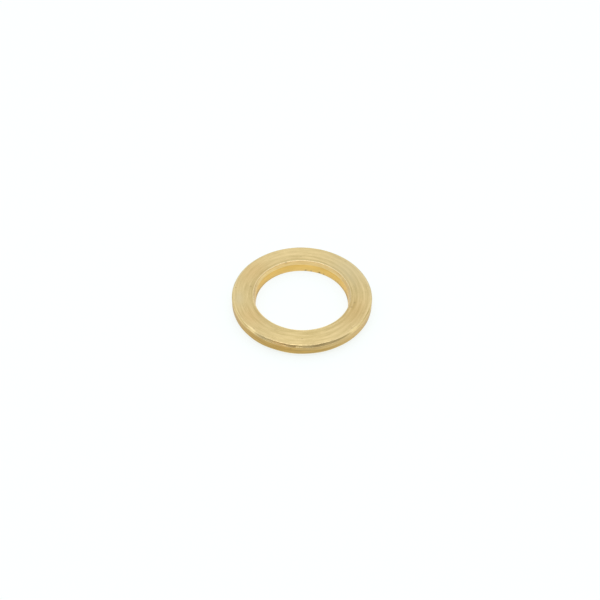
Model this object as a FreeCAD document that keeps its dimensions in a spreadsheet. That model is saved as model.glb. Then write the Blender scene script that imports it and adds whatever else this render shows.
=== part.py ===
import FreeCAD, Part
import math
import os

import Sketcher

# Flat washer: one solid brass ring, turned from bar and parted off.
# Millimetres. +Z is up along the washer's axis, and the origin is the centre of the face it rests on.

NODE = "washer_ring"
SHEET = "Dimensions"

# Driving dimensions: alias, value, meaning. The chamfers are at 45 degrees, and the mouth is steeper.
DRIVING_DIMENSIONS = (
    ("outer_diameter", 19.9, "outside of the rim"),
    ("bore_diameter", 13.2, "clearance hole for an M12 screw"),
    ("thickness", 1.9, "resting face to top face"),
    ("rim_top_chamfer", 0.25, "outer edge of the top face"),
    ("rim_bottom_chamfer", 0.45, "outer edge of the resting face"),
    ("bore_bottom_chamfer", 0.05, "deburred edge of the bore in the resting face"),
    ("mouth_width", 0.3, "how far the bore's tapered mouth cuts into the top face"),
    ("mouth_depth", 0.8, "how far down the bore the taper runs"),
)


def fill_sheet(document):
    """Put the driving dimensions in a spreadsheet, one aliased cell each."""
    sheet = document.addObject("Spreadsheet::Sheet", SHEET)
    for row, (alias, value, meaning) in enumerate(DRIVING_DIMENSIONS, start=1):
        sheet.set(f"A{row}", alias)
        sheet.set(f"B{row}", str(value))
        sheet.setAlias(f"B{row}", alias)
        sheet.set(f"C{row}", meaning)
    document.recompute()
    return sheet


def resting_plane(body):
    """The body's own XY plane, which is the plane the washer rests on."""
    return next(plane for plane in body.Origin.OriginFeatures if plane.Role == "XY_Plane")


def circle_sketch(body, name, diameter_alias):
    """A circle about the washer's axis, on the resting plane, as wide as its cell says."""
    sketch = body.newObject("Sketcher::SketchObject", name)
    sketch.AttachmentSupport = [(resting_plane(body), "")]
    sketch.MapMode = "FlatFace"
    diameter = getattr(body.Document.getObject(SHEET), diameter_alias)
    circle = Part.Circle(FreeCAD.Vector(), FreeCAD.Vector(0, 0, 1), diameter / 2)
    edge = sketch.addGeometry(circle)
    centre_point = 3
    origin_point = (-1, 1)
    sketch.addConstraint(Sketcher.Constraint("Coincident", edge, centre_point, *origin_point))
    across = sketch.addConstraint(Sketcher.Constraint("Diameter", edge, diameter))
    sketch.renameConstraint(across, diameter_alias)
    sketch.setExpression(f"Constraints.{diameter_alias}", f"{SHEET}.{diameter_alias}")
    return sketch


def turn_blank(body):
    """The disc that the bar is turned and parted to."""
    blank = body.newObject("PartDesign::Pad", "Blank")
    blank.Profile = circle_sketch(body, "RimCircle", "outer_diameter")
    blank.setExpression("Length", f"{SHEET}.thickness")
    body.Document.recompute()
    return blank


def drill_bore(body):
    """The hole for the screw, right through the blank."""
    bore = body.newObject("PartDesign::Pocket", "Bore")
    bore.Profile = circle_sketch(body, "BoreCircle", "bore_diameter")
    bore.Type = "ThroughAll"
    bore.Reversed = True
    body.Document.recompute()
    return bore


def circular_edge(feature, diameter, height):
    """The name of the feature's circular edge of this diameter, at this height."""
    for number, edge in enumerate(feature.Shape.Edges, start=1):
        if not isinstance(edge.Curve, Part.Circle):
            continue
        same_size = math.isclose(2 * edge.Curve.Radius, diameter, abs_tol=1e-6)
        same_height = math.isclose(edge.Curve.Center.z, height, abs_tol=1e-6)
        if same_size and same_height:
            return f"Edge{number}"
    raise RuntimeError(f"no circular edge of diameter {diameter} at height {height}")


def chamfer_edge(body, name, size_alias, diameter, height):
    """Cut a 45 degree chamfer, as large as its cell says, on one circular edge."""
    base = body.Tip
    chamfer = body.newObject("PartDesign::Chamfer", name)
    chamfer.Base = (base, [circular_edge(base, diameter, height)])
    chamfer.setExpression("Size", f"{SHEET}.{size_alias}")
    body.Document.recompute()
    return chamfer


def taper_mouth(body, diameter, height):
    """Cut the bore's upper edge back to a long taper."""
    mouth = chamfer_edge(body, "BoreMouth", "mouth_width", diameter, height)
    mouth.ChamferType = "Two distances"
    mouth.FlipDirection = True
    mouth.setExpression("Size2", f"{SHEET}.mouth_depth")
    body.Document.recompute()
    return mouth


def build_washer_ring(document, sheet):
    """The whole washer: a bored disc with its edges chamfered and the bore's mouth tapered."""
    body = document.addObject("PartDesign::Body", "WasherRing")
    body.Label = NODE
    turn_blank(body)
    drill_bore(body)
    top = sheet.thickness
    chamfer_edge(body, "RimTopChamfer", "rim_top_chamfer", sheet.outer_diameter, top)
    chamfer_edge(body, "RimBottomChamfer", "rim_bottom_chamfer", sheet.outer_diameter, 0)
    chamfer_edge(body, "BoreBottomChamfer", "bore_bottom_chamfer", sheet.bore_diameter, 0)
    taper_mouth(body, sheet.bore_diameter, top)
    body.Placement = FreeCAD.Placement()
    return body


def expected_volume(sheet):
    """Volume of the finished ring, worked out by hand from the same dimensions."""
    rim_radius = sheet.outer_diameter / 2
    bore_radius = sheet.bore_diameter / 2
    ring = math.pi * (rim_radius**2 - bore_radius**2) * sheet.thickness
    rim_cuts = sum(
        math.pi * size**2 * (rim_radius - size / 3)
        for size in (sheet.rim_top_chamfer, sheet.rim_bottom_chamfer)
    )
    bore_cuts = sum(
        math.pi * width * depth * (bore_radius + width / 3)
        for width, depth in (
            (sheet.bore_bottom_chamfer, sheet.bore_bottom_chamfer),
            (sheet.mouth_width, sheet.mouth_depth),
        )
    )
    return ring - rim_cuts - bore_cuts


def check_document(document):
    """Stop if any object of the document failed to recompute."""
    for item in document.Objects:
        if "Invalid" in item.State or "Error" in item.State:
            raise RuntimeError(f"{item.Name} failed: {item.State}")


def check_ring(shape, sheet):
    """Stop unless the washer is one valid solid of the volume it should have."""
    if shape.isNull() or not shape.isValid():
        raise RuntimeError("the washer's shape is null or invalid")
    if len(shape.Solids) != 1:
        raise RuntimeError(f"the washer is {len(shape.Solids)} solids, not one")
    if not math.isclose(shape.Volume, expected_volume(sheet), rel_tol=1e-6):
        raise RuntimeError(f"volume {shape.Volume} mm3, expected {expected_volume(sheet)} mm3")


def main():
    document = FreeCAD.newDocument("FlatWasher")
    sheet = fill_sheet(document)
    washer = build_washer_ring(document, sheet)
    document.recompute()
    check_document(document)
    check_ring(washer.Shape, sheet)
    os.makedirs("parts", exist_ok=True)
    washer.Shape.exportStep(f"parts/{washer.Label}.step")
    print(f"{washer.Label}: {washer.Shape.Volume:.3f} mm3, {len(washer.Shape.Faces)} faces")


main()
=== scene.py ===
import math
from collections import namedtuple

import bpy
import numpy as np
from mathutils import Matrix, Vector


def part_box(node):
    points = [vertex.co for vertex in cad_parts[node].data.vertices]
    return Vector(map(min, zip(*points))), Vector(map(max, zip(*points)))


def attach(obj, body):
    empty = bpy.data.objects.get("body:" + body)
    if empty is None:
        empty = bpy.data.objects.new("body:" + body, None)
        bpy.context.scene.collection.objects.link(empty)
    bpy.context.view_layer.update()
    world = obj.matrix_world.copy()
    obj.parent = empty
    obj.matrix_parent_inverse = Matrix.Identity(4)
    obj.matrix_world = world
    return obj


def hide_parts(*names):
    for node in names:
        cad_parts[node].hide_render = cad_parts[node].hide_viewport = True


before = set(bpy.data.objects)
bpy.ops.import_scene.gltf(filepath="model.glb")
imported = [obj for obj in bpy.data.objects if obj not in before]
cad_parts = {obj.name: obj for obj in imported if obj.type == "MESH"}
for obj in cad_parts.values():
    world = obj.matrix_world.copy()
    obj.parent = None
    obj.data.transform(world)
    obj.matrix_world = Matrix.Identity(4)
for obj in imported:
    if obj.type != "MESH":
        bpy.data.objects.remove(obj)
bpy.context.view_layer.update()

# A flat brass washer, turned on a lathe, lying on a white floor. Metres, in the CAD's frame: +Z is
# the washer's axis and the floor is at z = 0. Angles round the washer run anticlockwise from +X, in
# degrees, so 270 is the side nearest the camera. A share is how far across a surface something is,
# from 0 where the surface starts to 1 where it ends.

MM = 0.001
NODE = "washer_ring"
SEED = 7
DECIMALS = 6              # two of the CAD's points are one where they agree to a micrometre

# ---------------------------------------------------------------- sizes from the frame

low_corner, high_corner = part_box(NODE)
rim_radius = high_corner.x
thickness = high_corner.z - low_corner.z


def section_points(cad_node):
    """(radius, height) of the points of the CAD ring's section, anticlockwise from the bore's foot.

    There are nine: its eight corners, and one halfway down the taper of the bore's mouth."""
    points = {
        (round(math.hypot(vertex.co.x, vertex.co.y), DECIMALS), round(vertex.co.z, DECIMALS))
        for vertex in cad_node.data.vertices
    }
    middle = np.mean(list(points), axis=0)
    return np.array(sorted(points, key=lambda p: math.atan2(p[1] - middle[1], p[0] - middle[0])))


# ---------------------------------------------------------------- the ring's surfaces

SEGMENTS = 576                # steps round the ring
FEED = 0.745 * MM             # how far the facing tool moved in a turn, the pitch of its spiral
FEED_START = 0.16             # how far into its turn the tool was where a face starts, at angle 0
FEED_WAVE = 0.0015 * MM       # how far in and out each turn of the spiral goes
RIDGES = 6                    # fine grooves that the tool's worn tip cut within each turn
RIDGE_DEPTH = 0.003 * MM      # depth of an average fine groove
WALL_LINES = 0.0014 * MM      # how far in and out the fine lines drawn along a wall go
WALL_WAVE = 0.004 * MM        # how far in and out the shallow wave across a wall goes
CHAMFER_LINES = 0.003 * MM    # how far in and out the lines along a chamfer go
CHATTER = 0.004 * MM          # how far in and out the chatter round a chamfer goes
CHAMFER_WANDER = 0.08         # how far a chamfer's edges wander, as a share of its width
LIP = 0.005 * MM              # how far the edges stand above the worked surfaces
LIP_WIDTH = 0.09 * MM         # how far in from an edge its lip reaches
EDGE_WEAR = 0.06 * MM         # how far in from an edge the metal is polished by handling
POLISH_CHANGE = 0.25          # how much of an edge's polish comes and goes round the ring

Surface = namedtuple("Surface", "name steps finish softness edge_steps polish")

# The surfaces in order round the section, from the bore's foot: steps across and finish, and the edge
# that each one ends in, softened over that many millimetres to each side, in so many steps, and how
# bright it is worn, from 0 to 1.
SURFACES = (
    Surface("bore_foot", 1, "chamfered", 0.015, 2, 0.3),
    Surface("resting_face", 14, "faced", 0.06, 3, 0.4),
    Surface("rim_foot", 5, "chamfered", 0.06, 3, 0.3),
    Surface("rim_wall", 18, "drawn", 0.03, 3, 0.4),
    Surface("rim_top_chamfer", 6, "chamfered", 0.03, 6, 0.4),
    Surface("top_face", 76, "faced", 0.012, 3, 0.8),
    Surface("bore_mouth", 12, "reamed", 0.30, 3, 0.0),
    Surface("bore_wall", 12, "bored", 0.015, 2, 0.4),
)
SURFACE_NAMES = [surface.name for surface in SURFACES]

Flat = namedtuple("Flat", "angle spread inward upward")

# Where the rim's upper chamfer is uneven: its angle and spread in degrees, and how far its upper edge
# moves inward and its lower edge upward there, in millimetres.
RIM_FLATS = (
    Flat(206, 8, 0.05, 0.04),
    Flat(225, 5, 0.10, 0.08),
    Flat(250, 9, 0.07, 0.04),
    Flat(271, 6, 0.06, 0.03),
    Flat(290, 10, 0.06, -0.04),
    Flat(319, 5, 0.09, 0.07),
    Flat(338, 8, 0.05, 0.04),
)

Glint = namedtuple("Glint", "surface angle spread softer brighter")

# Where an edge is worn more than elsewhere and catches the light: the surface that it ends, its angle
# and spread in degrees, how much further it is softened, in millimetres, and how much painted highlight
# is added to its polish.
GLINTS = (
    Glint("rim_top_chamfer", 226, 5, 0.11, 0.0),
    Glint("rim_top_chamfer", 268, 7, 0.03, 0.0),
    Glint("rim_top_chamfer", 318, 5, 0.11, 0.0),
    # painted highlight: the far edge of the bore's mouth is painted brighter
    Glint("top_face", 92, 50, 0.0, 1.0),
)

Dent = namedtuple("Dent", "surface angle share radius depth")

# The dents and nicks that can be picked out in the photograph. Angle in degrees, radius and depth in
# millimetres.
DENTS = (
    Dent("top_face", 271, 0.45, 0.10, 0.030),
    Dent("top_face", 92, 0.70, 0.09, 0.025),
    Dent("top_face", 342, 0.84, 0.16, 0.030),
    Dent("top_face", 349, 0.76, 0.13, 0.030),
    Dent("top_face", 170, 0.80, 0.12, 0.030),
    Dent("top_face", 48, 0.12, 0.12, 0.018),
    Dent("top_face", 174, 0.07, 0.10, 0.030),
    Dent("top_face", 110, 0.73, 0.08, 0.020),
    Dent("bore_mouth", 111, 0.03, 0.12, 0.040),
    # along the foot of the bore's wall, where their darkening paints the specks of shade there
    Dent("bore_wall", 119, 0.96, 0.10, 0.040),
    Dent("bore_wall", 86, 0.92, 0.13, 0.060),
    Dent("bore_wall", 79, 0.95, 0.11, 0.050),
    Dent("bore_wall", 68, 0.92, 0.16, 0.065),
    Dent("bore_wall", 62, 0.95, 0.11, 0.050),
    Dent("bore_wall", 57, 0.97, 0.08, 0.040),
    Dent("bore_wall", 51, 0.96, 0.10, 0.045),
    Dent("bore_wall", 45, 0.97, 0.08, 0.040),
    Dent("bore_wall", 38, 0.95, 0.12, 0.045),
    Dent("top_face", 226, 0.04, 0.12, 0.025),
    Dent("top_face", 245, 0.03, 0.08, 0.020),
    Dent("top_face", 268, 0.03, 0.09, 0.020),
    Dent("top_face", 273, 0.04, 0.07, 0.020),
    Dent("top_face", 296, 0.03, 0.10, 0.025),
    Dent("top_face", 318, 0.05, 0.12, 0.025),
    Dent("rim_top_chamfer", 257, 0.50, 0.14, 0.040),
    Dent("rim_top_chamfer", 267, 0.70, 0.10, 0.040),
    Dent("rim_wall", 262, 0.75, 0.12, 0.025),
)
DEPTH_OF_DARKEST_DENT = 0.06           # how deep a dent is, in millimetres, that is darkened the most, with dirt and painted shade

STRAY_DENTS = 46              # further small dents, scattered at random
STRAY_RADIUS = (0.05, 0.12)   # least and greatest, in millimetres
STRAY_DEPTH = (0.06, 0.18)    # least and greatest, as a share of the radius
STRAY_SHARE = (0.05, 0.95)    # nearest to a surface's start and to its end

Patch = namedtuple("Patch", "surface angle share spread height tone warmth")

# Patches of colour: where their middles are, their spread in degrees and height as a share of the
# surface, how much paler (+) or darker (-), and how much redder (+) or greyer (-).
# Some of these are painted highlights, painted shade and a painted reflection, each marked where it is.
PATCHES = (
    Patch("top_face", 120, 0.40, 28, 0.70, 0.60, 0.00),
    Patch("top_face", 148, 0.50, 16, 0.60, -0.15, 0.40),
    Patch("top_face", 187, 0.25, 8, 0.22, 0.30, -1.00),
    Patch("top_face", 213, 0.50, 12, 0.60, -0.10, 0.40),
    Patch("top_face", 275, 0.50, 20, 1.00, -0.80, 0.00),
    Patch("top_face", 308, 0.50, 14, 1.00, 0.40, 0.00),
    # painted highlight: a small bright spot on the top face
    Patch("top_face", 300, 0.38, 3, 0.06, 0.90, 0.00),
    Patch("top_face", 338, 0.60, 20, 0.60, -0.35, 0.40),
    Patch("top_face", 345, 0.76, 7, 0.10, -0.90, 0.00),
    Patch("top_face", 38, 0.40, 22, 0.80, 0.00, -0.90),
    Patch("top_face", 24, 0.68, 16, 0.08, -0.60, -0.40),
    # painted shade: the far edge of the rim darkened, on the top face and the chamfer, where it is seen
    # at a grazing angle
    Patch("top_face", 90, 0.00, 80, 0.02, -2.00, -0.60),
    Patch("rim_top_chamfer", 90, 0.50, 80, 2.00, -2.50, -1.00),
    # painted highlights: the glints on the chamfer
    Patch("rim_top_chamfer", 226, 0.50, 5, 2.00, 2.00, -0.30),
    Patch("rim_top_chamfer", 318, 0.50, 6, 2.00, 1.60, 0.00),
    Patch("rim_top_chamfer", 239, 0.50, 6, 2.00, -0.20, -0.60),
    # painted reflection: the reddish patch on the near left of the chamfer
    Patch("rim_top_chamfer", 252, 0.50, 10, 2.00, 1.10, 1.20),
    Patch("rim_top_chamfer", 265, 0.30, 2, 1.00, -0.80, 0.30),
    # painted highlight: paler where the near chamfer catches the light
    Patch("rim_top_chamfer", 273, 0.50, 7, 1.00, 2.40, 0.20),
    Patch("rim_top_chamfer", 289, 0.40, 9, 1.00, 0.90, 0.30),
    # painted reflection: the reddish patch on the near left of the wall
    Patch("rim_wall", 256, 0.90, 7, 0.30, -0.20, 0.80),
    Patch("rim_wall", 285, 0.70, 40, 0.14, 0.35, -0.40),
    Patch("rim_wall", 280, 0.35, 60, 0.18, -0.25, 0.30),
    # painted light: the wall's right front made paler and greyer, as more light falls there
    Patch("rim_wall", 318, 0.55, 22, 0.80, 1.50, -0.40),
    Patch("rim_wall", 290, 0.50, 22, 0.90, 0.10, -0.30),
    # painted highlight: the bright line along the far edge of the bore's mouth
    Patch("bore_mouth", 88, 0.00, 40, 0.15, 2.00, 0.00),
    Patch("bore_mouth", 90, 0.75, 90, 0.40, -0.80, 0.00),
    Patch("bore_mouth", 135, 0.50, 28, 1.00, 0.20, 0.30),
    Patch("bore_mouth", 115, 0.45, 30, 0.35, 0.40, 0.35),
    Patch("bore_mouth", 90, 1.00, 90, 0.10, 0.00, -0.30),
    Patch("bore_mouth", 150, 0.20, 20, 0.40, -0.70, 0.30),
    Patch("bore_mouth", 150, 1.00, 22, 0.08, 1.10, 0.00),
    Patch("bore_mouth", 18, 0.30, 14, 0.45, -0.10, 0.40),
    Patch("bore_wall", 90, 1.00, 90, 0.60, 0.50, -0.30),
)

PaintedShade = namedtuple("PaintedShade", "surface angle share spread height dirt")

# Painted shade, where the bore's sides and a spot on its mouth's edge are darkened and made rougher:
# where its middle is, its spread in degrees, its height as a share of the surface, and how dark it is,
# from 0 to 1.
PAINTED_SHADES = (
    PaintedShade("bore_mouth", 184, 0.35, 34, 0.80, 0.78),
    PaintedShade("bore_mouth", 355, 0.35, 38, 0.80, 0.70),
    PaintedShade("bore_wall", 168, 0.90, 12, 0.35, 0.62),
    PaintedShade("bore_wall", 11, 0.90, 11, 0.35, 0.62),
    PaintedShade("bore_wall", 150, 0.95, 24, 0.20, 0.42),
    PaintedShade("bore_wall", 27, 0.95, 20, 0.20, 0.42),
    PaintedShade("top_face", 340, 1.00, 15, 0.03, 0.40),
)

# Tone across the top face, from its rim (0) to the bore's mouth (1).
FACE_TONES = (
    (0.00, 0.2), (0.30, 0.4), (0.55, 0.0), (0.75, -0.1), (0.90, -0.9), (1.00, -0.6),
)

# Tone from one turn of the facing tool's spiral (0) to the next (1).
FEED_TONES = (
    (0.00, -0.4), (0.15, 0.1), (0.31, 0.9), (0.50, 0.1), (0.70, -0.6), (0.90, -0.6), (1.00, -0.4),
)
SPIRAL_SHOWS = 0.62           # how strongly the spiral's tones show, on the average
SPIRAL_TO_RIGHT = 0.35        # how much more strongly they show at angle 0, and less at 180
SPIRAL_INWARD = 0.75          # how much more strongly they show at a face's end than at its start
UNEVEN_TONE = 0.2             # how far the tone wanders round a surface
STREAK_TONE = 0.4             # how far the tone changes from streak to streak, where there is no spiral


def from_angle(around, angle):
    """How far round the ring each step is from an angle, in degrees, the short way."""
    return (np.degrees(around) - angle + 180) % 360 - 180


def bump(distance, spread):
    """1 where the distance is nothing, falling smoothly away over the spread."""
    return np.exp(-((distance / spread) ** 2))


def nearness(around, spot):
    """1 at the angle of a flat, glint, patch or painted shade, falling smoothly away over its spread."""
    return bump(from_angle(around, spot.angle), spot.spread)


def wander(rng, around, waves, apart=1):
    """A smooth closed wobble round the ring, from -1 to 1.

    It adds up 1 wave round the ring, 1 + apart, and so on up to that many waves."""
    total = np.zeros_like(around)
    for wave in range(1, waves + 1, apart):
        total += rng.normal() * np.cos(wave * around + rng.uniform(0, 2 * math.pi))
    return total / np.abs(total).max()


FEWEST_KNOTS = 4              # values that a drift passes through, at the least
SPARE_KNOTS = 3               # how many more of them there are than spacings


def drift(rng, across, spacing):
    """Smooth random values from -1 to 1 along a surface, changing over about that spacing."""
    count = max(FEWEST_KNOTS, int(np.ptp(across) / spacing) + SPARE_KNOTS)
    knots = np.linspace(across.min(), across.max(), count)
    values = rng.uniform(-1, 1, count)
    before_last = count - 1.001     # so that there is a knot after every place
    place = np.clip((across - knots[0]) / (knots[1] - knots[0]), 0, before_last)
    left = place.astype(int)
    ease = 0.5 - 0.5 * np.cos(math.pi * (place - left))
    return values[left] * (1 - ease) + values[left + 1] * ease


def varied(wobble, amount):
    """A factor about 1, which a wobble from -1 to 1 moves up and down by that amount."""
    return 1 + amount * wobble


def feed_share(across, around):
    """How far each place is from one turn of the facing tool's spiral to the next, from 0 to 1."""
    return (across / FEED + around / (2 * math.pi) + FEED_START) % 1


# Each relief gives how far a surface stands in or out, in metres, for its (across, around) grid.

def face_relief(rng, across, around):
    """Spiral left by the facing tool: a wave with fine grooves in it, some of them cut deeper."""
    turn = feed_share(across, around)
    wave = FEED_WAVE * np.cos(2 * math.pi * turn)
    groove = np.abs(np.sin(math.pi * RIDGES * turn))
    depth = RIDGE_DEPTH * varied(drift(rng, across, spacing=0.3 * MM), amount=0.6)
    return wave - groove * depth * varied(wander(rng, around, waves=5), amount=0.25)


def wall_relief(rng, across, around):
    """Fine lines drawn along a wall, with a shallow wave across it."""
    lines = WALL_LINES * drift(rng, across, spacing=0.07 * MM)
    wave = WALL_WAVE * drift(rng, across, spacing=0.45 * MM)
    return (lines + wave) * varied(wander(rng, around, waves=9, apart=2), amount=0.4)


def chamfer_relief(rng, across, around):
    """Lines along a chamfer, with the chatter that the tool left round it."""
    lines = CHAMFER_LINES * drift(rng, across, spacing=0.08 * MM)
    return lines + CHATTER * wander(rng, around, waves=61, apart=5)


RELIEF = {
    "faced": face_relief,
    "drawn": wall_relief,
    "bored": wall_relief,
    "reamed": wall_relief,
    "chamfered": chamfer_relief,
}


# ---------------------------------------------------------------- the ring's section, all round it

def wear_flats(around, back, ahead):
    """How far the rim's upper chamfer reaches back and ahead, once its flats are worn into it."""
    for flat in RIM_FLATS:
        worn = nearness(around, flat) * MM
        back = back - flat.upward * worn
        ahead = ahead + flat.inward * worn
    return back, ahead


def wandering_points(rng, points, around):
    """The section's points all round the ring: each chamfer is a little wider here, narrower there."""
    round_ring = np.repeat(points[:, None, :], len(around), axis=1)
    for index, surface in enumerate(SURFACES):
        if surface.finish != "chamfered":
            continue
        first, second = index, index + 1
        width = np.linalg.norm(points[second] - points[first])
        before = points[first] - points[first - 1]
        after = points[(second + 1) % len(points)] - points[second]
        back = CHAMFER_WANDER * width * wander(rng, around, waves=14)
        ahead = CHAMFER_WANDER * width * wander(rng, around, waves=14)
        if surface.name == "rim_top_chamfer":
            back, ahead = wear_flats(around, back, ahead)
        round_ring[first] -= np.outer(back, before / np.linalg.norm(before))
        round_ring[second] += np.outer(ahead, after / np.linalg.norm(after))
    return round_ring


def edge_softness(rng, around):
    """How far each surface's last edge is softened, all round the ring."""
    soft = [np.full_like(around, surface.softness * MM) for surface in SURFACES]
    for burred in ("rim_top_chamfer", "top_face"):
        uneven = varied(wander(rng, around, waves=120, apart=7), amount=0.5)
        soft[SURFACE_NAMES.index(burred)] *= uneven
    for glint in GLINTS:
        soft[SURFACE_NAMES.index(glint.surface)] += glint.softer * MM * nearness(around, glint)
    return soft


def edge_polish(rng, around):
    """How bright each surface's last edge is worn, with the glints' painted highlight, all round the
    ring.
    """
    polish = []
    for surface in SURFACES:
        change = POLISH_CHANGE * wander(rng, around, waves=90, apart=4)
        polish.append(surface.polish * (1 - POLISH_CHANGE + change))
    # the glints' painted highlight, on top of the wear
    for glint in GLINTS:
        polish[SURFACE_NAMES.index(glint.surface)] += glint.brighter * nearness(around, glint)
    return polish


# Of one surface, all round the ring: where it starts and ends, how wide it is, and the directions
# across it and out of the metal.
Side = namedtuple("Side", "start end width way outward")

# The mesh's rings in order round the section, or one of them: (radius, height) places, the directions
# out of the metal there, the surface's number, the share across it, and how bright an edge is worn, with
# a painted highlight at one glint.
Grid = namedtuple("Grid", "places outward owner share edge")


def section_sides(points):
    """The side that each surface makes of the section, from its own point to the next surface's.

    The ninth point, where the taper runs out in the bore, is left out. So the bore's mouth ends
    halfway down the taper, and the bore's wall runs from there straight to the bore's foot."""
    starts = points[:len(SURFACES)]
    sides = []
    for start, end in zip(starts, np.roll(starts, -1, axis=0)):
        width = np.linalg.norm(end - start, axis=1)
        way = (end - start) / width[:, None]
        sides.append(Side(start, end, width, way, np.stack([way[:, 1], -way[:, 0]], axis=1)))
    return sides


def surface_rings(rng, around, index, side, soft, polish):
    """The rings of one surface, from its first softened edge to its last, with its relief."""
    surface = SURFACES[index]
    share = np.linspace(0, 1, surface.steps + 1)[:, None]
    bare = side.width - soft[index - 1] - soft[index]
    across = soft[index - 1] + share * bare
    relief = RELIEF[surface.finish](rng, across, around)
    lip = LIP * varied(wander(rng, around, waves=40, apart=3), amount=0.5)
    from_edge = np.minimum(share, 1 - share) * bare
    sunk = np.minimum(relief - lip, 0) * np.clip(from_edge / LIP_WIDTH, 0, 1) ** 2
    places = side.start + across[..., None] * side.way + sunk[..., None] * side.outward
    starting = bump(share * bare, EDGE_WEAR) * polish[index - 1]
    ending = bump((1 - share) * bare, EDGE_WEAR) * polish[index]
    edge = np.maximum(starting, ending)
    return [
        Grid(places[row], side.outward, index, share[row, 0], edge[row])
        for row in range(len(share))
    ]


def edge_rings(index, side, following, soft, polish):
    """The rings that round off the edge between a surface and the one that follows it."""
    leave = side.end - soft[index][:, None] * side.way
    arrive = side.end + soft[index][:, None] * following.way
    steps = SURFACES[index].edge_steps
    rings = []
    for step in range(1, steps):
        t = step / steps
        places = (1 - t) ** 2 * leave + 2 * t * (1 - t) * side.end + t**2 * arrive
        outward = (1 - t) * side.outward + t * following.outward
        rings.append(Grid(places, outward, index, 1.0, polish[index]))
    return rings


def section_grid(rng, points, around):
    """All the rings of vertices, in order round the section."""
    sides = section_sides(wandering_points(rng, points, around))
    soft = edge_softness(rng, around)
    polish = edge_polish(rng, around)
    rings = []
    for index, side in enumerate(sides):
        following = sides[(index + 1) % len(sides)]
        rings += surface_rings(rng, around, index, side, soft, polish)
        rings += edge_rings(index, side, following, soft, polish)
    grid = Grid(*(np.array(column) for column in zip(*rings)))
    return grid._replace(edge=np.minimum(grid.edge, 1))


# ---------------------------------------------------------------- dents, dirt and tones

def stray_dents(rng):
    """Small dents in places of no meaning, more of them on the large surfaces."""
    weights = np.array([surface.steps for surface in SURFACES], float)
    for _ in range(STRAY_DENTS):
        surface = SURFACE_NAMES[rng.choice(len(SURFACES), p=weights / weights.sum())]
        radius = rng.uniform(*STRAY_RADIUS)
        angle = rng.uniform(0, 360)
        share = rng.uniform(*STRAY_SHARE)
        yield Dent(surface, angle, share, radius, radius * rng.uniform(*STRAY_DEPTH))


def blot(around, share, mark):
    """1 in the middle of a patch or painted shade, falling smoothly away round the ring and across."""
    return nearness(around, mark) * bump(share - mark.share, mark.height)


def spread_painted_shade(grid, around):
    """How much painted shade each vertex has, from 0 to 1."""
    dirt_and_shade = np.zeros(grid.edge.shape)
    for shade_spot in PAINTED_SHADES:
        rows = grid.owner == SURFACE_NAMES.index(shade_spot.surface)
        # painted shade at the bore's sides and on a spot of its mouth's edge
        darkening = shade_spot.dirt * blot(around, grid.share[rows][:, None], shade_spot)
        dirt_and_shade[rows] = np.maximum(dirt_and_shade[rows], darkening)
    return dirt_and_shade


def press_dents(grid, around, dents, dirt_and_shade):
    """Push each dent into the rings, and give the dirt and painted shade, with that of the dents added,
    from 0 to 1.
    """
    for dent in dents:
        on_surface = np.where(grid.owner == SURFACE_NAMES.index(dent.surface))[0]
        ring = on_surface[np.argmin(np.abs(grid.share[on_surface] - dent.share))]
        away = from_angle(around, dent.angle)
        centre = grid.places[ring, np.argmin(np.abs(away))]
        along = centre[0] * np.radians(away)
        apart = grid.places - centre
        distance = np.sqrt(apart[..., 0] ** 2 + apart[..., 1] ** 2 + along**2)
        hollow = bump(distance, dent.radius * MM)
        grid.places[...] -= (dent.depth * MM * hollow)[..., None] * grid.outward
        # dirt and painted shade in a dent: the deeper it is, the darker it is painted
        dirt_and_shade = np.maximum(dirt_and_shade, hollow * min(1, dent.depth / DEPTH_OF_DARKEST_DENT))
    return dirt_and_shade


def spiral_tone(share, radius, around):
    """Tone of the facing tool's spiral on a face that reaches over those radii."""
    turn = feed_share(share * np.ptp(radius), around)
    strength = SPIRAL_SHOWS + SPIRAL_TO_RIGHT * np.cos(around) + SPIRAL_INWARD * (share - 0.5)
    return np.interp(turn, *zip(*FEED_TONES)) * strength


def surface_tones(rng, grid, around):
    """Tone (dark to pale) and warmth (grey to red) of every vertex, about -1 to 1."""
    tone = np.zeros(grid.edge.shape)
    warmth = np.zeros(grid.edge.shape)
    for index, surface in enumerate(SURFACES):
        rows = grid.owner == index
        share = np.repeat(grid.share[rows][:, None], len(around), axis=1)
        tone[rows] += UNEVEN_TONE * wander(rng, around, waves=8)
        if surface.finish == "faced":
            tone[rows] += spiral_tone(share, grid.places[rows][..., 0], around)
        else:
            tone[rows] += STREAK_TONE * drift(rng, share, spacing=0.12)
        if surface.name == "top_face":
            tone[rows] += np.interp(share, *zip(*FACE_TONES))
        # some patches are painted highlights, painted shade and a painted reflection
        for patch in PATCHES:
            if patch.surface == surface.name:
                shape = blot(around, share, patch)
                tone[rows] += patch.tone * shape
                warmth[rows] += patch.warmth * shape
    return tone, warmth


# ---------------------------------------------------------------- the ring's mesh

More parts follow.
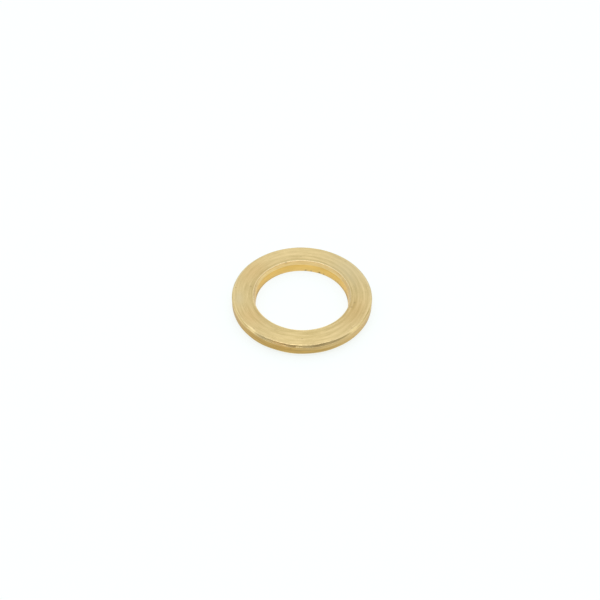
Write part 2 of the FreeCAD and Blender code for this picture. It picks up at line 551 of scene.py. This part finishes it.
def ring_mesh(name, grid, around, shades):
    """A closed mesh of quads through the rings, with each shade as an attribute of its vertices."""
    count, segments = len(grid.owner), len(around)
    radius, height = grid.places[..., 0], grid.places[..., 1]
    points = np.stack([radius * np.cos(around), radius * np.sin(around), height], axis=-1)
    ring = np.arange(count)[:, None]
    step = np.arange(segments)[None, :]
    next_ring, next_step = (ring + 1) % count, (step + 1) % segments
    quads = np.stack([
        ring * segments + step,
        ring * segments + next_step,
        next_ring * segments + next_step,
        next_ring * segments + step,
    ], axis=-1).reshape(-1, 4)
    mesh = bpy.data.meshes.new(name)
    mesh.from_pydata(points.reshape(-1, 3).tolist(), [], quads.tolist())
    finishes = list(dict.fromkeys(surface.finish for surface in SURFACES))
    for finish in finishes:
        mesh.materials.append(bpy.data.materials[finish])
    slots = np.array([finishes.index(SURFACES[owner].finish) for owner in grid.owner])
    mesh.polygons.foreach_set("material_index", np.repeat(slots, segments).astype(np.int32))
    mesh.polygons.foreach_set("use_smooth", np.ones(len(quads), bool))
    for shade, values in shades.items():
        attribute = mesh.attributes.new(shade, "FLOAT", "POINT")
        attribute.data.foreach_set("value", values.reshape(-1).astype(np.float32))
    mesh.update()
    return mesh


def build_washer():
    """The washer as it is seen: the CAD ring with its turning marks, dents and softened edges."""
    rng = np.random.RandomState(SEED)
    around = np.linspace(0, 2 * math.pi, SEGMENTS, endpoint=False)
    grid = section_grid(rng, section_points(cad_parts[NODE]), around)
    tone, warmth = surface_tones(rng, grid, around)
    # dirt and painted shade: darkening in the dents, and painted shade at the bore's sides
    dirt_and_shade = press_dents(grid, around, [*DENTS, *stray_dents(rng)], spread_painted_shade(grid, around))
    shades = {"tone": tone, "warmth": warmth, "dirt_and_shade": dirt_and_shade, "edge": grid.edge}
    washer = bpy.data.objects.new("turned_washer", ring_mesh("turned_washer", grid, around, shades))
    bpy.context.scene.collection.objects.link(washer)
    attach(washer, "root")
    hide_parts(NODE)


# ---------------------------------------------------------------- materials

def add(tree, kind, **inputs):
    """A shader node of that kind, with its named inputs set."""
    node = tree.nodes.new(kind)
    for name, value in inputs.items():
        node.inputs[name].default_value = value
    return node


def feed(tree, value, socket):
    """Link another node's output into a socket, or set the socket to a number or a colour."""
    if isinstance(value, bpy.types.NodeSocket):
        tree.links.new(value, socket)
    elif isinstance(value, tuple):
        socket.default_value = (*value, 1)
    else:
        socket.default_value = value


def maths(tree, operation, first, second):
    """A Math node. Each operand is a number or another node's output."""
    node = tree.nodes.new("ShaderNodeMath")
    node.operation = operation
    feed(tree, first, node.inputs[0])
    feed(tree, second, node.inputs[1])
    return node.outputs[0]


def plus(tree, value, amount, extra):
    """A node's output with an amount of another's added to it."""
    return maths(tree, "ADD", value, maths(tree, "MULTIPLY", extra, amount))


def blend(tree, share, first, second):
    """A colour between two others, each a colour or another node's output."""
    node = tree.nodes.new("ShaderNodeMix")
    node.data_type = "RGBA"
    feed(tree, share, node.inputs["Factor"])
    feed(tree, first, node.inputs["A"])
    feed(tree, second, node.inputs["B"])
    return node.outputs["Result"]


def stretch(tree, value, low, high, to_low=0.0, to_high=1.0):
    """Map Range from low..high to to_low..to_high, held at its ends."""
    limits = {"From Min": low, "From Max": high, "To Min": to_low, "To Max": to_high}
    node = add(tree, "ShaderNodeMapRange", **limits)
    tree.links.new(value, node.inputs["Value"])
    return node.outputs["Result"]


def shade(tree, name):
    """One of the mesh's own shades: tone, warmth, dirt and painted shade, or edge."""
    node = tree.nodes.new("ShaderNodeAttribute")
    node.attribute_name = name
    return node.outputs["Fac"]


def object_place(tree):
    """Where a point is on the washer, in its own metres."""
    return tree.nodes.new("ShaderNodeTexCoord").outputs["Object"]


def vector_maths(tree, operation, vector, other=(0, 0, 0)):
    """A Vector Math node of one vector from another node and one that is constant."""
    node = tree.nodes.new("ShaderNodeVectorMath")
    node.operation = operation
    node.inputs[1].default_value = other
    tree.links.new(vector, node.inputs[0])
    return node


def components(tree, vector):
    """A vector's x, y and z."""
    node = tree.nodes.new("ShaderNodeSeparateXYZ")
    tree.links.new(vector, node.inputs[0])
    return node.outputs


def turned_coordinates(tree, across_axis):
    """(across, around x, around y): distance across the tool marks, and the direction round them."""
    place = object_place(tree)
    flat = vector_maths(tree, "MULTIPLY", place, (1, 1, 0)).outputs["Vector"]
    direction = vector_maths(tree, "NORMALIZE", flat).outputs["Vector"]
    if across_axis == "radius":
        across = vector_maths(tree, "LENGTH", flat).outputs["Value"]
    else:
        across = components(tree, place)["Z"]
    around = components(tree, direction)
    return across, around["X"], around["Y"]


def streaks(tree, coordinates, width, reach, detail=2.0):
    """Noise drawn out round the axis, in streaks of that width that reach so many radians round it."""
    across, around_x, around_y = coordinates
    vector = tree.nodes.new("ShaderNodeCombineXYZ")
    tree.links.new(maths(tree, "DIVIDE", across, width), vector.inputs[0])
    tree.links.new(maths(tree, "DIVIDE", around_x, reach), vector.inputs[1])
    tree.links.new(maths(tree, "DIVIDE", around_y, reach), vector.inputs[2])
    noise = add(tree, "ShaderNodeTexNoise", Scale=1.0, Detail=detail, Roughness=STREAK_FINENESS)
    tree.links.new(vector.outputs[0], noise.inputs["Vector"])
    return noise.outputs["Fac"]


def hairlines(tree, angle, width, length):
    """Sparse straight scratches lying at an angle, from 0 (none) to 1."""
    turn = add(tree, "ShaderNodeMapping", Scale=(width, length, length))
    turn.inputs["Rotation"].default_value = (0, 0, math.radians(angle))
    turn.vector_type = "TEXTURE"
    tree.links.new(object_place(tree), turn.inputs["Vector"])
    noise = add(tree, "ShaderNodeTexNoise", Scale=1.0, Detail=0.0)
    tree.links.new(turn.outputs[0], noise.inputs["Vector"])
    return stretch(tree, noise.outputs["Fac"], *SCRATCH_PEAKS)


def speckle(tree, size):
    """Fine even grain."""
    noise = add(tree, "ShaderNodeTexNoise", Scale=1 / size, Detail=2.0)
    tree.links.new(object_place(tree), noise.inputs["Vector"])
    return noise.outputs["Fac"]


GREY_BRASS = (0.66, 0.58, 0.36)
RED_BRASS = (0.66, 0.39, 0.13)
# colour of worn edges, and of the painted highlight on the far edge of the bore's mouth
WORN_AND_HIGHLIT_BRASS = (0.97, 0.81, 0.49)
# dark colour of dirt in the dents, and of painted shade in them and at the bore's sides
DIRT_AND_SHADE_COLOUR = (0.22, 0.16, 0.08)
GREYEST = 0.45                # how much grey brass there is where warmth is -1
REDDEST = 0.6                 # how much red brass there is where warmth is 1
MOST_DIRT_AND_SHADE = 0.8                # how much of the dark colour there is where the dirt and painted shade are at their most

STREAK_FINENESS = 0.6         # how strong each finer layer of the streaks is, beside the one before it
NOISE_RANGE = (0.3, 0.7)      # nearly all of a noise's values lie between these
SCRATCH_PEAKS = (0.73, 0.78)  # the rare values of a noise that show as scratches
BROAD_SHARE = 0.5             # how much of the grain is broad streaks; the rest is fine ones
TONE_IN_GRAIN = 0.25          # how much of the mesh's tone is added to the grain

RELIEF_HEIGHT = 0.0015 * MM   # height of the streaks' bump
SPECKLE_SIZE = 0.06 * MM
SPECKLE_HEIGHT = 0.5          # height of the speckle, as a share of the streaks'
SCRATCH_TONE = 0.35           # how much paler a scratch is
SCRATCH_HEIGHT = -0.6         # height of a scratch, which is cut in, as a share of the streaks'

ROUGHER_OR_SMOOTHER = 0.06    # how far the roughness changes from streak to streak
ROUGHNESS_OF_POLISH = -0.08   # roughness added where an edge is worn
ROUGHNESS_OF_DIRT_AND_SHADE = 0.25      # roughness added with the dirt and the painted shade
QUARTER_TURN = 0.25           # of a full turn, from the tangent to the direction of the gloss

Scratches = namedtuple("Scratches", "angle width length")

# Directions of the scratches on the faces, in degrees, and their size in millimetres.
SCRATCHES = (
    Scratches(35, 0.030, 1.6),
    Scratches(72, 0.025, 1.1),
    Scratches(118, 0.025, 1.1),
    Scratches(164, 0.025, 1.1),
)


def all_scratches(tree):
    """The scratches in every direction together, from 0 (none) to 1."""
    lines = 0.0
    for scratches in SCRATCHES:
        crossing = hairlines(tree, scratches.angle, scratches.width * MM, scratches.length * MM)
        lines = maths(tree, "MAXIMUM", lines, crossing)
    return lines


def brass_colour(tree, dark, light, grain):
    """Base colour: streaks between dark and light, then the mesh's tones, worn edges and dirt, with
    painted light and shade among them.
    """
    level = plus(tree, grain, TONE_IN_GRAIN, shade(tree, "tone"))
    colour = blend(tree, stretch(tree, level, 0.0, 1.0), dark, light)
    warmth = shade(tree, "warmth")
    colour = blend(tree, stretch(tree, warmth, 0.0, -1.0, 0.0, GREYEST), colour, GREY_BRASS)
    colour = blend(tree, stretch(tree, warmth, 0.0, 1.0, 0.0, REDDEST), colour, RED_BRASS)
    # worn edges, and a painted highlight on the far edge of the bore's mouth
    colour = blend(tree, shade(tree, "edge"), colour, WORN_AND_HIGHLIT_BRASS)
    # dirt in the dents, and painted shade there and at the bore's sides
    return blend(tree, maths(tree, "MULTIPLY", shade(tree, "dirt_and_shade"), MOST_DIRT_AND_SHADE), colour, DIRT_AND_SHADE_COLOUR)


def brass_roughness(tree, roughness, fine):
    """Roughness: uneven from streak to streak, less on worn edges and more in dirt and painted shade."""
    smoother, rougher = roughness - ROUGHER_OR_SMOOTHER, roughness + ROUGHER_OR_SMOOTHER
    gloss = stretch(tree, fine, 0.0, 1.0, smoother, rougher)
    gloss = plus(tree, gloss, ROUGHNESS_OF_POLISH, shade(tree, "edge"))
    return plus(tree, gloss, ROUGHNESS_OF_DIRT_AND_SHADE, shade(tree, "dirt_and_shade"))


def brass_normal(tree, relief):
    """The surface's direction, with its finest relief as a bump."""
    relief = plus(tree, relief, SPECKLE_HEIGHT, speckle(tree, SPECKLE_SIZE))
    node = add(tree, "ShaderNodeBump", Strength=1.0, Distance=RELIEF_HEIGHT)
    tree.links.new(relief, node.inputs["Height"])
    return node.outputs["Normal"]


def round_the_axis(tree):
    """The tangent that runs round the washer's axis."""
    tangent = tree.nodes.new("ShaderNodeTangent")
    tangent.direction_type = "RADIAL"
    tangent.axis = "Z"
    return tangent.outputs["Tangent"]


def turned_brass(name, across_axis, dark, light, roughness, anisotropy, scratched=False):
    """Brass cut on a lathe: tone, gloss and fine relief all run in streaks round the axis."""
    material = bpy.data.materials.new(name)
    material.use_nodes = True
    tree = material.node_tree
    coordinates = turned_coordinates(tree, across_axis)
    broad = stretch(tree, streaks(tree, coordinates, width=0.25 * MM, reach=0.35), *NOISE_RANGE)
    fine = stretch(tree, streaks(tree, coordinates, width=0.06 * MM, reach=0.25), *NOISE_RANGE)
    grain = plus(tree, maths(tree, "MULTIPLY", broad, BROAD_SHARE), 1 - BROAD_SHARE, fine)
    relief = streaks(tree, coordinates, width=0.03 * MM, reach=0.3, detail=3.0)
    if scratched:
        lines = all_scratches(tree)
        grain = plus(tree, grain, SCRATCH_TONE, lines)
        relief = plus(tree, relief, SCRATCH_HEIGHT, lines)
    shader = tree.nodes["Principled BSDF"].inputs
    shader["Metallic"].default_value = 1.0
    shader["Anisotropic"].default_value = anisotropy
    shader["Anisotropic Rotation"].default_value = QUARTER_TURN
    tree.links.new(brass_colour(tree, dark, light, grain), shader["Base Color"])
    tree.links.new(brass_roughness(tree, roughness, fine), shader["Roughness"])
    tree.links.new(brass_normal(tree, relief), shader["Normal"])
    tree.links.new(round_the_axis(tree), shader["Tangent"])


def make_faced_brass():
    """The two flat faces, with spiral marks from the facing tool and scratches from handling."""
    dark, light = (0.55, 0.432, 0.19), (0.79, 0.635, 0.33)
    turned_brass("faced", "radius", dark, light, roughness=0.34, anisotropy=0.7, scratched=True)


def make_drawn_brass():
    """The rim's wall, as the bar was drawn."""
    dark, light = (0.39, 0.245, 0.063), (0.68, 0.455, 0.15)
    turned_brass("drawn", "height", dark, light, roughness=0.42, anisotropy=0.4)


def make_chamfered_brass():
    """The small chamfers of the rim and of the bore's foot."""
    dark, light = (0.46, 0.335, 0.125), (0.86, 0.685, 0.32)
    turned_brass("chamfered", "height", dark, light, roughness=0.30, anisotropy=0.3)


def make_reamed_brass():
    """The long taper of the bore's mouth."""
    dark, light = (0.71, 0.47, 0.165), (0.97, 0.77, 0.38)
    turned_brass("reamed", "height", dark, light, roughness=0.38, anisotropy=0.3)


def make_bored_brass():
    """The bore's wall."""
    dark, light = (0.68, 0.43, 0.10), (0.89, 0.59, 0.18)
    turned_brass("bored", "height", dark, light, roughness=0.36, anisotropy=0.3)


# ---------------------------------------------------------------- camera

ELEVATION = 45.6              # degrees above the floor
ROLL = 1.16                   # degrees, clockwise in the picture
DISTANCE = 13.4               # rim radii from the middle of the top face
FIELD_OF_VIEW = 35.4          # degrees
AIM = (-0.027, -0.120)        # where the camera points on the top face, in rim radii
NEAREST = 0.1                 # rim radii from the camera, the nearest that it sees
FARTHEST = 1000               # rim radii from the camera, the farthest that it sees

# Directions from the washer to the camera, and to the top of its picture before it rolls.
slope = math.radians(ELEVATION)
TO_CAMERA = Vector((0, -math.cos(slope), math.sin(slope)))
UPWARD = Vector((0, math.sin(slope), math.cos(slope)))


def add_camera():
    """A camera in front of the washer and above it."""
    data = bpy.data.cameras.new("camera")
    data.angle = math.radians(FIELD_OF_VIEW)
    data.clip_start = NEAREST * rim_radius
    data.clip_end = FARTHEST * rim_radius
    camera = bpy.data.objects.new("camera", data)
    top = Vector((0, 0, thickness))
    camera.location = top + TO_CAMERA * DISTANCE * rim_radius
    target = top + Vector((*AIM, 0)) * rim_radius
    look = (target - camera.location).to_track_quat("-Z", "Y").to_matrix().to_4x4()
    turn = look @ Matrix.Rotation(math.radians(ROLL), 4, "Z")
    camera.rotation_euler = turn.to_euler()
    bpy.context.scene.collection.objects.link(camera)
    bpy.context.scene.camera = camera


# ---------------------------------------------------------------- studio

FLOOR_REACH = 150             # rim radii from the washer to the floor's sides
PAPER = (0.24, 0.25, 0.25)    # dim, because most of the floor's light is its own glow
PAPER_ROUGHNESS = 0.9
PAPER_SHEEN = 0.1             # how much light the paper's surface throws back like a varnish
PAPER_GLOW = (0.955, 1.0, 1.0)
GLOW_STRENGTH = 0.78

# The tent's dim opening fades in from the first of these values to the second: of the square of the
# distance from its middle, in half widths, and of how far a direction points towards the camera.
FADE_ROUND = (1.5, 0.5)
FADE_AHEAD = (0.0, 0.3)


def add_floor():
    """A plain white floor that glows a little, far larger than the washer."""
    reach = FLOOR_REACH * rim_radius
    corners = [(-reach, -reach, 0), (reach, -reach, 0), (reach, reach, 0), (-reach, reach, 0)]
    mesh = bpy.data.meshes.new("floor")
    mesh.from_pydata(corners, [], [(0, 1, 2, 3)])
    material = bpy.data.materials.new("white_paper")
    material.use_nodes = True
    shader = material.node_tree.nodes["Principled BSDF"].inputs
    shader["Base Color"].default_value = (*PAPER, 1)
    shader["Roughness"].default_value = PAPER_ROUGHNESS
    shader["Specular IOR Level"].default_value = PAPER_SHEEN
    shader["Emission Color"].default_value = (*PAPER_GLOW, 1)
    shader["Emission Strength"].default_value = GLOW_STRENGTH
    mesh.materials.append(material)
    floor = bpy.data.objects.new("floor", mesh)
    bpy.context.scene.collection.objects.link(floor)


def add_overhead_softbox(radiance, width, height):
    """A square softbox straight above the washer. Width and height are in rim radii."""
    light = bpy.data.lights.new("overhead_softbox", "AREA")
    light.size = width * rim_radius
    light.energy = radiance * math.pi * light.size**2
    softbox = bpy.data.objects.new("overhead_softbox", light)
    softbox.location = (0, 0, height * rim_radius)
    softbox.visible_camera = False
    bpy.context.scene.collection.objects.link(softbox)


def from_middle(tree, direction, axis, across):
    """How far a direction is from the opening's middle along an axis, in half widths, squared.

    The opening is that many degrees across."""
    aside = vector_maths(tree, "DOT_PRODUCT", direction, axis).outputs["Value"]
    share = maths(tree, "DIVIDE", aside, math.sin(math.radians(across / 2)))
    return maths(tree, "MULTIPLY", share, share)


def add_light_tent(walls, opening, wide, tall):
    """A white tent round the washer, with a dim oval opening behind the camera.

    Walls and opening are how bright they are. Wide and tall are the opening's, in degrees."""
    world = bpy.data.worlds.new("light_tent")
    world.use_nodes = True
    tree = world.node_tree
    direction = tree.nodes.new("ShaderNodeTexCoord").outputs["Generated"]
    aside = from_middle(tree, direction, (1, 0, 0), wide)
    above = from_middle(tree, direction, UPWARD, tall)
    oval = stretch(tree, maths(tree, "ADD", aside, above), *FADE_ROUND)
    ahead = vector_maths(tree, "DOT_PRODUCT", direction, TO_CAMERA).outputs["Value"]
    inside = maths(tree, "MULTIPLY", stretch(tree, ahead, *FADE_AHEAD), oval)
    background = tree.nodes["Background"].inputs
    background["Color"].default_value = (1, 1, 1, 1)
    tree.links.new(stretch(tree, inside, 0.0, 1.0, walls, opening), background["Strength"])
    bpy.context.scene.world = world


# ---------------------------------------------------------------- the scene

make_faced_brass()
make_drawn_brass()
make_chamfered_brass()
make_reamed_brass()
make_bored_brass()
build_washer()
add_floor()
add_light_tent(walls=1.0, opening=0.36, wide=115, tall=48)
add_overhead_softbox(radiance=1.35, width=16, height=24)
add_camera()
bpy.context.scene.view_settings.view_transform = "Standard"
